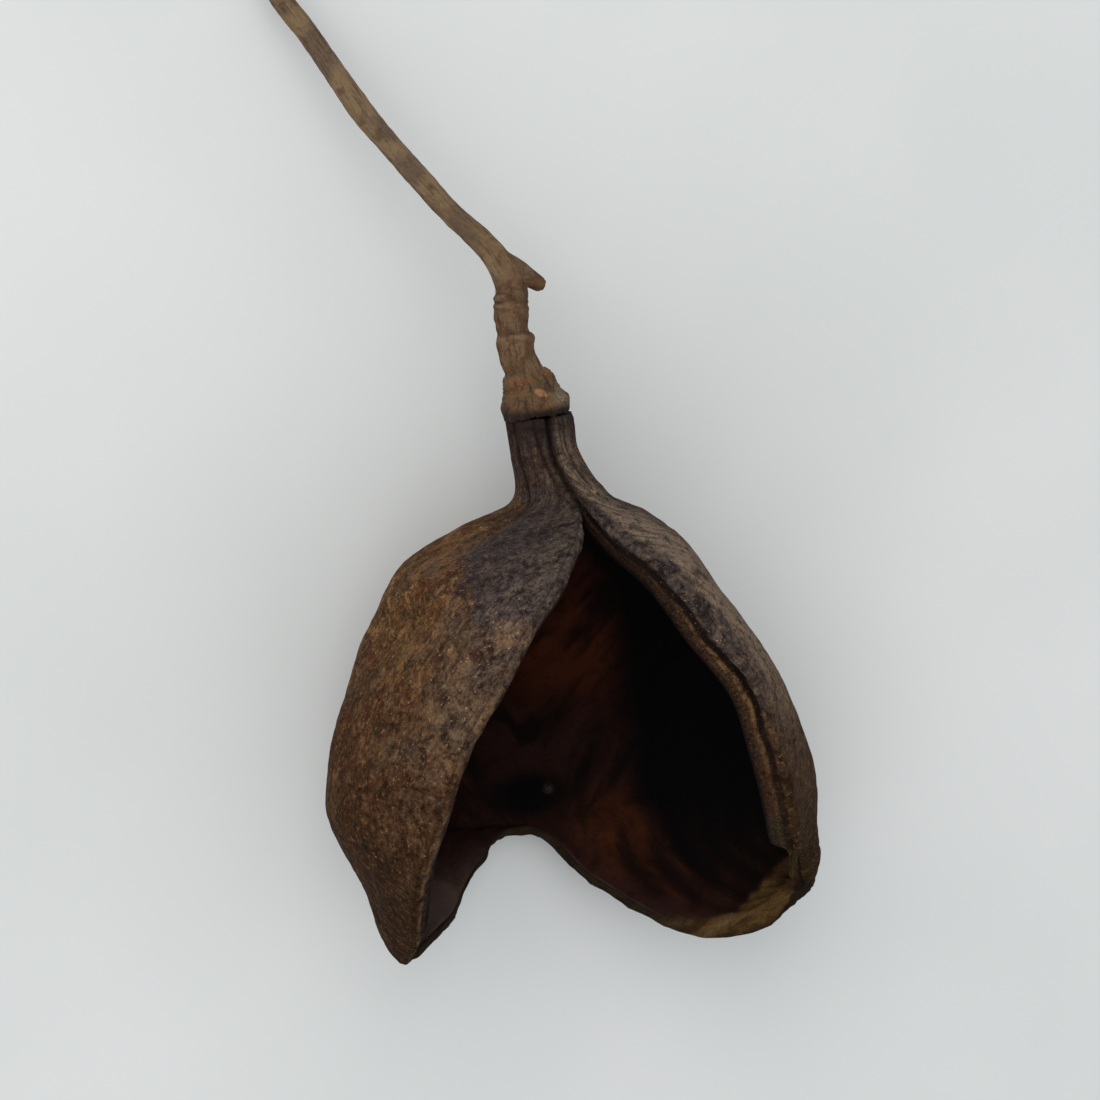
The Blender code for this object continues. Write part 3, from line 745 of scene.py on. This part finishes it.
class FinishSheet:   # one material, with its colours by name
    def __init__(self, name, colours):
        self.material = bpy.data.materials.new(name)
        self.material.use_nodes = True
        self.tree = self.material.node_tree
        self.tree.nodes.clear()
        self.colours = colours

    def add(self, kind, settings, sockets, out=0):
        node = self.tree.nodes.new("ShaderNode" + kind)
        for key, value in settings.items():
            setattr(node, key, value)
        for key, value in sockets.items():
            if isinstance(value, Signal):
                self.tree.links.new(value.socket, node.inputs[key])
            else:
                node.inputs[key].default_value = value
        return Signal(self, node.outputs[out]) if len(node.outputs) else None

    def place(self, scale):   # where a point is in the object, in units of its own
        return self.vectorMath("SCALE", self.add("TexCoord", {}, {}, out=3), {"Scale": scale})

    def vectorMath(self, operation, vector, sockets, out=0):
        return self.add("VectorMath", {"operation": operation}, {0: vector, **sockets}, out)

    def values(self, names):   # numbers kept on the mesh
        return [self.add("Attribute", {"attribute_name": name}, {}, out=2) for name in names.split()]

    def vector(self, x, y, z):
        return self.add("CombineXYZ", {}, {"X": x, "Y": y, "Z": z})

    def noise(self, vector, scale, detail, rough, twist=0.0):
        return self.add("TexNoise", {}, {"Vector": vector, "Scale": scale, "Detail": detail,
                                         "Roughness": rough, "Distortion": twist})

    def blend(self, mask, first, second):   # colours come by name, or from other nodes
        first, second = [self.colours[v] if isinstance(v, str) else v for v in (first, second)]
        return self.add("Mix", {"data_type": "RGBA"}, {0: mask, 6: first, 7: second}, out=2)

    def layers(self, colour, coats):   # each coat goes over the ones before it, by its mask
        for mask, name in coats:
            colour = self.blend(mask, colour, name)
        return colour

    def finish(self, colour, rough, height, specular):
        bump = self.add("Bump", {}, {"Strength": 1.0, "Distance": self.colours["bump"], "Height": height})
        shader = self.add("BsdfPrincipled", {}, {"Base Color": colour, "Roughness": rough, "Normal": bump,
                                                 "Specular IOR Level": specular})
        self.add("OutputMaterial", {}, {"Surface": shader})
        return self.material


def rgb(r, g, b):   # screen colour from 0 to 255 to the renderer's own scale
    return tuple(((v / 255 + 0.055) / 1.055) ** 2.4 if v > 10 else v / 255 / 12.92
                 for v in (r, g, b)) + (1.0,)


huskFinish = {
    "base": rgb(98, 66, 38), "gold": rgb(162, 118, 70), "lowGold": rgb(128, 96, 50),
    "rust": rgb(88, 50, 26), "olive": rgb(84, 60, 30), "slate": rgb(56, 51, 55),
    "neckDark": rgb(36, 26, 25), "brown": rgb(88, 62, 46), "dark": rgb(22, 14, 8),
    "lowShade": rgb(48, 26, 9), "pale": rgb(158, 122, 82), "ash": rgb(142, 122, 104),
    "fleckAndGlint": rgb(224, 188, 146), "inside": rgb(54, 20, 9), "insideLow": rgb(36, 15, 7),
    "insideShadeAndDark": rgb(4, 2, 2), "insideTanAndHighlight": rgb(72, 34, 14), "plum": rgb(38, 20, 18),
    "spoon": rgb(98, 82, 74), "flank": rgb(70, 46, 32), "ridge": rgb(128, 98, 58),
    "moss": rgb(62, 54, 38), "bare": rgb(92, 68, 38), "bareLow": rgb(58, 40, 20),
    "streak": rgb(112, 98, 80), "groove": rgb(20, 11, 7),
    "bump": 0.00055,
}


def huskMaterial():
    f = FinishSheet("husk", huskFinish)
    spot = f.place(1 / mm)
    skin, lip, plain, bare, furrow, crest = f.values("skin lip plain bare furrow crest")
    around, along, across = f.values("round along across")
    over, up = [f.add("SeparateXYZ", {}, {0: spot}, out=k) for k in (0, 1)]   # up is towards the neck
    rightHalf = across.step(-0.5, 0.5)
    leftHalf = 1 - rightHalf

    broad = f.noise(spot, 0.045, 3, 0.55)
    patch = f.noise(spot, 0.1, 5, 0.62, 0.4)
    moved = f.vectorMath("ADD", spot, {1: (70, 20, 40)})
    patch2 = f.noise(moved, 0.15, 5, 0.65)
    flakes = f.noise(moved, 0.26, 6, 0.72, 0.9)
    mottle = f.noise(spot, 0.42, 4, 0.68, 0.5)
    streak = f.noise(f.vector(along * 0.16, across * 0.62, skin * 3), 1.0, 4, 0.6, 0.3)
    short = f.noise(f.vector(along * 0.85, across * 1.35, skin * 3), 1.0, 5, 0.72, 0.5)
    neckLines = f.noise(f.vector(along * 0.09, across * 1.0, skin * 3), 1.0, 4, 0.65, 0.4)
    grit = f.noise(spot, 1.35, 4, 0.72, 0.3)
    granule = f.noise(spot, 2.6, 3, 0.7)
    speck = f.noise(spot, 3.1, 3, 0.7)
    lightGrit = grit.step(0.4, 0.58)

    def near(place, outside, inside):   # 1 close to a place, 0 away from it
        return f.vectorMath("DISTANCE", spot, {1: place}, out=1).step(outside, inside)

    # the skin: golden brown patches, slate grey on the shoulders, dark neck, granules and flecks, with
    # painted glints, painted shade in the furrows and painted shade over the lower end
    shoulder = leftHalf * up.step(-34, -16) * (1 - around.step(0.8, 0.94))
    neckTone = up.step(-6, 2) + up.step(-18, -6) * around.step(0.55, 0.78)
    upperLip = around.step(0.7, 0.98) * up.step(-44, -12) * 0.75
    rightTone = rightHalf * up.step(-58, -24) * around.step(0.94, 0.99) * 0.6
    lowTone = (1 - up.step(-56, -28)) * 0.5
    clouds = (patch - 0.5) * 2.4 + (patch2 - 0.5) * 2.0 + (flakes - 0.5) * 1.2
    slate = (neckTone + upperLip + rightTone + clouds - lowTone).clamped()
    rim = around.step(0.74, 0.97) * up.step(-62, -44)
    farRim = rightHalf * around.step(0.62, 0.88) * (1 - around.step(0.95, 0.985)) * up.step(-54, -18)
    middle = up.step(-60, -20)
    broken = middle * (1 - up.step(-14, -2))
    nearNeck, onNeck = up.step(-30, -10), up.step(-9, 1)
    low = 1 - up.step(-60, -30)
    # how much painted highlight the skin takes: most in the middle, least at the tips and by the neck
    light = 0.24 + middle * 0.7 - up.step(-16, -4) * 0.65
    # painted glints: tiny bright specks
    sparkle = speck.step(0.6, 0.7) * short.step(0.5, 0.58)
    ringAt, fleckAt = (-16.3, -13.9, 49.1), (4.3, -0.2, 28.3)
    paleRing = near(ringAt, 1.5, 1.1) * (1 - near(ringAt, 0.9, 0.5))
    outer = f.layers(f.blend(broad.step(0.42, 0.58), "base", "rust"), [
        (patch2.step(0.47, 0.56) * 0.65, "olive"),
        (patch.step(0.52, 0.58) * (0.1 + up.step(-60, -26) * 0.3), "gold"),
        (flakes.step(0.54, 0.58) * shoulder * 0.8, "gold"),
        (slate * 0.93, "slate"),
        (up.step(-4, 4) * patch2.step(0.44, 0.58) * 0.6, "brown"),
        (rim * 0.3 * mottle.step(0.36, 0.6), "ash"),
        # ash grey along the right half's far rim: partly the skin's own grey, partly painted rim light
        (farRim * (0.55 + streak.step(0.4, 0.6) * 0.35), "ash"),
        # painted shade: the lower end darkened, as the light falls from the neck's side
        ((1 - up.step(-64, -14)) * 0.9, "lowShade"),
        (mottle.step(0.49, 0.34) * 0.6, "dark"),
        (mottle.step(0.54, 0.68) * (0.1 + broken * 0.28), "pale"),
        (streak.step(0.5, 0.34) * 0.35, "dark"),
        (grit.step(0.52, 0.34) * 0.6, "dark"),
        (grit.step(0.56, 0.68) * middle * 0.25, "ash"),
        (short.step(0.5, 0.34) * (0.5 - nearNeck * 0.4), "dark"),
        (granule.step(0.48, 0.34) * nearNeck * 0.55, "dark"),
        (short.step(0.5, 0.66) * grit.step(0.4, 0.56) * low * 0.45, "lowGold"),
        (granule.step(0.47, 0.34) * low * 0.5, "dark"),
        # pale grains, partly painted highlight where the skin is lit
        (short.step(0.5, 0.68) * lightGrit * light * 0.4, "pale"),
        # painted glints, strongest where the skin is lit
        (sparkle * (light + 0.15) * 0.9, "fleckAndGlint"),
        (neckLines.step(0.5, 0.36) * onNeck * 0.5, "dark"),
        (neckLines.step(0.58, 0.72) * onNeck * 0.12, "ash"),
        # painted shade in the furrows and in the seam down the neck
        (furrow * 0.8, "dark"),
        (up.step(4.5, 10) * 0.7, "neckDark"),
        (paleRing * lightGrit * 0.6, "ash"),
        (near(fleckAt, 1.1, 0.4) * grit.step(0.44, 0.54), "fleckAndGlint"),
    ])

    # the hollow: reddish brown where it is lit, with slanting folds, and painted shade, almost black,
    # further in
    wide = (across * across + 9) ** 0.5
    slant, cross = along * 0.6 + wide * 0.85, along * 0.85 - wide * 0.6
    folds = f.noise(f.vector(slant * 0.22, cross * 0.06, skin * 3), 1.0, 3, 0.55, 0.3)
    inBroad = f.noise(spot, 0.07, 3, 0.5, 0.3)
    # painted shade in the hollow: shade says where, and pit adds painted shadow in one small pit low down
    shade = around.step(0.2, 0.3) - (1 - up.step(-72, -58)) * 0.45
    shade = shade - rightHalf * around.step(0.9, 1.0) * 0.55 + up.step(-22, -12)
    squeezed = f.vectorMath("MULTIPLY", spot, {1: (0.55, 1, 1)})
    pit = f.vectorMath("DISTANCE", squeezed, {1: (-1.2, -55.0, 6.0)}, out=1).step(1.8, 5.5)
    lit = (1 - shade.clamped()) * pit
    inside = f.layers(f.blend(up.step(-48, -28), "insideLow", "inside"), [
        (inBroad.step(0.44, 0.56) * (1 - up.step(-50, -34)) * 0.7, "plum"),
        (near((6.8, -32, 2.8), 12, 3) * 0.6, "insideTanAndHighlight"),
        (near((11.5, -62, 9), 11, 3) * 0.6, "insideTanAndHighlight"),
        # painted highlight on the ridge crests, and painted shade in their valleys and along the dark fold
        # lines
        (crest.step(0.0, 0.55) * 0.45, "insideTanAndHighlight"),
        (crest.step(0.0, -0.32) * 0.6, "insideShadeAndDark"),
        (folds.step(0.56, 0.34) * 0.8, "insideShadeAndDark"),
        (inBroad.step(0.52, 0.36) * 0.5, "insideShadeAndDark"),
        (mottle.step(0.5, 0.34) * 0.35, "insideShadeAndDark"),
    ])
    spoon = leftHalf * (1 - up.step(-69, -59)) * (0.4 + patch.step(0.4, 0.58) * 0.6)
    # painted shadow: almost black where the hollow is in shade
    inside = f.layers(f.blend(lit, "insideShadeAndDark", inside), [
        (near((1.2, -54.6, 5.8), 1.4, 0.1) * granule.step(0.36, 0.6) * 0.3, "spoon"),
        (spoon * 0.75, "spoon"),
    ])

    # the lips: the right one has a dark groove and a light ridge, the left one a thin light line; the
    # groove's dark and the dark inner sides of both lips are painted shade
    rightFlank = skin.step(0.42, 0.5) * rightHalf
    grain = mottle.step(0.38, 0.56) * (0.4 + grit.step(0.38, 0.6) * 0.6)
    trough = skin.step(0.26, 0.34) * (1 - skin.step(0.46, 0.54)) * rightHalf
    ridge = skin.step(0.49, 0.55) * (1 - skin.step(0.61, 0.68)) * rightHalf
    ridgeStart = 1 - up.step(-22, -8) * 0.75
    ridgeLow = 1 - up.step(-50, -32)
    thinLine = leftHalf * skin.step(0.1, 0.24) * (1 - skin.step(0.3, 0.46)) * (1 - up.step(-50, -38))
    edge = f.layers(outer, [
        (rightFlank * 0.9, "flank"),
        (rightFlank * ridgeLow * patch.step(0.44, 0.56) * 0.8, "moss"),
        (rightFlank * grit.step(0.54, 0.38) * 0.7, "groove"),
        (ridge * grain * (1 - ridgeLow * 0.85) * ridgeStart * 0.9, "ridge"),
        (rightFlank * up.step(-26, -8) * 0.6, "groove"),
        (rightFlank * speck.step(0.57, 0.66) * ridgeStart * 0.5, "pale"),
        # painted shade where the right lip turns into the hollow
        (rightFlank * skin.step(0.68, 1.0) * 0.75, "insideShadeAndDark"),
        # painted shade on the inner half of the left lip
        (leftHalf * skin.step(0.4, 0.75) * 0.85, "dark"),
        # painted shade in the lip's groove
        (trough * (1 - speck.step(0.58, 0.68) * 0.5) * (0.95 - ridgeLow * 0.3), "groove"),
        (thinLine * mottle.step(0.4, 0.6) * 0.4, "ash"),
    ])
    # the torn edge of the lower end, bare wood with a grain that follows the rim
    outX, _, outY = husk["crescentOut"]
    outward, sideways = over * outX - up * outY, over * outY + up * outX
    rimGrain = f.noise(f.vector(outward * 0.45, sideways * 0.12, 0), 1.0, 4, 0.6, 0.2)
    flatEdge = f.layers(f.blend(rimGrain.step(0.4, 0.56), "bareLow", "bare"), [
        (rimGrain.step(0.54, 0.66) * lightGrit * 0.6, "streak"),
        ((1 - skin.step(0.1, 0.6)) * 0.6, "dark"),
        ((1 - bare) * (0.55 + rightHalf * 0.3), "dark"),
        (short.step(0.5, 0.36) * 0.45, "dark"),
    ])
    colour = f.blend(lip, outer, f.blend(plain, edge, flatEdge))
    inside = f.blend(bare * mottle.step(0.2, 0.48), inside, flatEdge)
    colour = f.blend(skin.step(0.9, 1.0), colour, inside)

    rough = 0.7 + short * 0.14 + granule * 0.12
    height = grit * 1.1 + granule * 0.55 + short * 0.6 + streak * 0.3 + speck * 0.2
    height = height * (1 - skin.step(0.8, 1.0) * 0.6)
    return f.finish(colour, rough, height, specular=0.07)


barkFinish = {
    "tan": rgb(104, 86, 70), "straw": rgb(130, 107, 80), "brown": rgb(76, 57, 42),
    "warm": rgb(118, 90, 60), "stalk": rgb(114, 88, 66), "collar": rgb(104, 76, 54),
    "ginger": rgb(118, 76, 44), "dark": rgb(38, 28, 22), "rust": rgb(92, 64, 44),
    "olive": rgb(88, 72, 48), "grey": rgb(118, 116, 96), "orange": rgb(150, 110, 78),
    "neck": rgb(34, 24, 21),
    "bump": 0.0004,
}


def barkMaterial():
    f = FinishSheet("bark", barkFinish)
    spot = f.place(1 / mm)
    along, turnA, turnB, spots, ringed = f.values("along turnA turnB spots ringed")
    collar, foot, scar, lichen, ringRise = f.values("collar foot scar lichen ringRise")
    broad = f.noise(spot, 0.16, 3, 0.55)
    patch = f.noise(spot, 0.42, 4, 0.6)
    granule = f.noise(spot, 3.0, 4, 0.7)
    fibre = f.noise(f.vector(along * 0.22, turnA * 3.2, turnB * 3.2), 1.3, 4, 0.62)
    lines = f.noise(f.vector(along * 0.35, turnA * 4.5, turnB * 4.5), 1.0, 4, 0.65, 0.3)
    rings = f.noise(f.vector(along * 1.3, turnA * 1.3, turnB * 1.3), 0.8, 4, 0.65, 0.4)

    joint = 1 - along.step(26, 44)
    twigTone = f.layers(f.blend(broad.step(0.42, 0.58), "tan", "straw"), [
        (joint * patch.step(0.36, 0.58) * 0.6, "warm"),
        (fibre.step(0.52, 0.3) * 0.75, "brown"),
        (patch.step(0.54, 0.68) * 0.6, "brown"),
        (granule.step(0.56, 0.7) * 0.35, "straw"),
    ])
    stalkTone = f.layers(f.blend(patch.step(0.42, 0.56), "stalk", "rust"), [
        (rings.step(0.54, 0.64) * 0.45, "ginger"),
        (broad.step(0.46, 0.62) * 0.5, "olive"),
        (rings.step(0.48, 0.34) * 0.55, "dark"),
        (lines.step(0.48, 0.34) * 0.6, "dark"),
        (lines.step(0.56, 0.72) * 0.4, "tan"),
        (ringRise.step(0.08, 0.28) * lines.step(0.34, 0.56) * 0.6, "straw"),
        # painted shade in the sunken rings
        (ringRise.step(-0.02, -0.12) * 0.65, "dark"),
    ])
    collarTone = f.layers(f.blend(patch.step(0.44, 0.6), "collar", "olive"), [
        (rings.step(0.5, 0.6) * 0.7, "ginger"),
        (patch.step(0.48, 0.38) * 0.6, "dark"),
        (lines.step(0.48, 0.34) * 0.55, "dark"),
        (granule.step(0.54, 0.68) * 0.45, "tan"),
        (granule.step(0.46, 0.32) * 0.45, "dark"),
        (lichen * granule.step(0.36, 0.52) * 0.8, "grey"),
        (lichen * granule.step(0.46, 0.36) * 0.8, "dark"),
        (scar.step(0.2, 0.5) * granule.step(0.28, 0.46) * 0.8, "orange"),
    ])
    colour = f.layers(f.blend(collar, f.blend(ringed * 0.9, twigTone, stalkTone), collarTone), [
        (foot * (0.6 + lines.step(0.3, 0.52) * 0.4), "neck"),
        (spots * 0.75, "dark"),
        (granule.step(0.44, 0.28) * 0.5, "dark"),
    ])
    height = fibre * 0.8 + granule * 0.6 + rings * ringed * 0.5 + lines * 0.8
    return f.finish(colour, 0.7 + fibre * 0.2, height, specular=0.16)


huskPiece.data.materials.append(huskMaterial())
stalkPiece.data.materials.append(barkMaterial())
print("finishes done")


# Floor, camera and light

view = {
    "roll": 5.0, "turn": 20.0, "tip": 10.0,   # degrees: how the husk stands in the picture
    "distance": 600.0,                        # millimetres
    "pixelsPerMm": 6.55,
    "neckAt": (538.0, 415.0),                 # the top of the neck in a picture 1100 wide
    "picture": 1100,
}


def cameraAxes():
    s, t, p = [np.radians(view[k]) for k in ("roll", "turn", "tip")]
    lat = np.array([np.cos(t), np.sin(t), 0])
    front = np.array([-np.sin(t), np.cos(t), 0])
    down = np.array([0, 0, 1.0])
    ax = down * np.cos(p) + front * np.sin(p)
    back = front * np.cos(p) - down * np.sin(p)
    right = lat * np.cos(s) + ax * np.sin(s)
    up = lat * np.sin(s) - ax * np.cos(s)
    return right, up, back


def makeCamera():
    right, up, back = cameraAxes()
    overX, overY = (view["picture"] / 2 - np.array(view["neckAt"])) / view["pixelsPerMm"]
    place = right * overX - up * overY + back * view["distance"]
    turned = lyingDown(np.array([right, up, back]))
    spot = (lyingDown(place[None])[0] - lay["shift"]) * mm
    data = bpy.data.cameras.new("camera")
    data.lens = data.sensor_width * view["distance"] / (view["picture"] / view["pixelsPerMm"])
    data.clip_start, data.clip_end = 0.01, 20
    camera = addToScene("camera", data)
    frameOf = Matrix(turned.T.tolist()).to_4x4()
    frameOf.translation = Vector(spot)
    camera.matrix_world = frameOf
    bpy.context.scene.camera = camera


floorFinish = {
    "shade": rgb(214, 217, 216),
    "pale": rgb(222, 224, 223),
    "bump": 0.0001,
    "reach": 3.0,       # metres from the middle to each side
    "height": -0.0002,
}


def floorMaterial():
    f = FinishSheet("floor", floorFinish)
    cloud = f.noise(f.place(1.0), 9.0, 3, 0.5)
    return f.finish(f.blend(cloud.step(0.3, 0.7), "shade", "pale"), 0.9, cloud, specular=0.1)


def makeFloor():
    mesh = bpy.data.meshes.new("floor")
    corners = [(x * floorFinish["reach"], y * floorFinish["reach"], floorFinish["height"])
               for x, y in ((-1, -1), (1, -1), (1, 1), (-1, 1))]
    mesh.from_pydata(corners, [], [(0, 1, 2, 3)])
    mesh.materials.append(floorMaterial())
    addToScene("floor", mesh)


# place, aim, width and power of each lamp, and its colour
lights = {
    "window": ((-0.6, 1.0, 0.9), (-0.02, -0.02, 0.02), 1.6, 11.8, (1.0, 0.985, 0.96)),
    "fill": ((-0.8, -0.4, 1.1), (-0.08, -0.03, 0), 1.2, 2.2, (0.98, 0.99, 1.0)),
}
room = {"colour": (0.97, 0.985, 1.0, 1.0), "strength": 0.69}


def areaLight(name, spot, aim, size, power, colour):
    data = bpy.data.lights.new(name, "AREA")
    data.shape, data.size, data.energy, data.color = "DISK", size, power, colour
    lamp = addToScene(name, data)
    lamp.location = spot
    lamp.rotation_euler = (Vector(aim) - Vector(spot)).to_track_quat("-Z", "Y").to_euler()


makeCamera()
makeFloor()
for lampName, settings in lights.items():
    areaLight(lampName, *settings)
world = bpy.data.worlds.new("room")
world.use_nodes = True
background = world.node_tree.nodes["Background"].inputs
background["Color"].default_value, background["Strength"].default_value = room["colour"], room["strength"]
bpy.context.scene.world = world
bpy.context.scene.view_settings.view_transform = "Standard"
print("stage done")
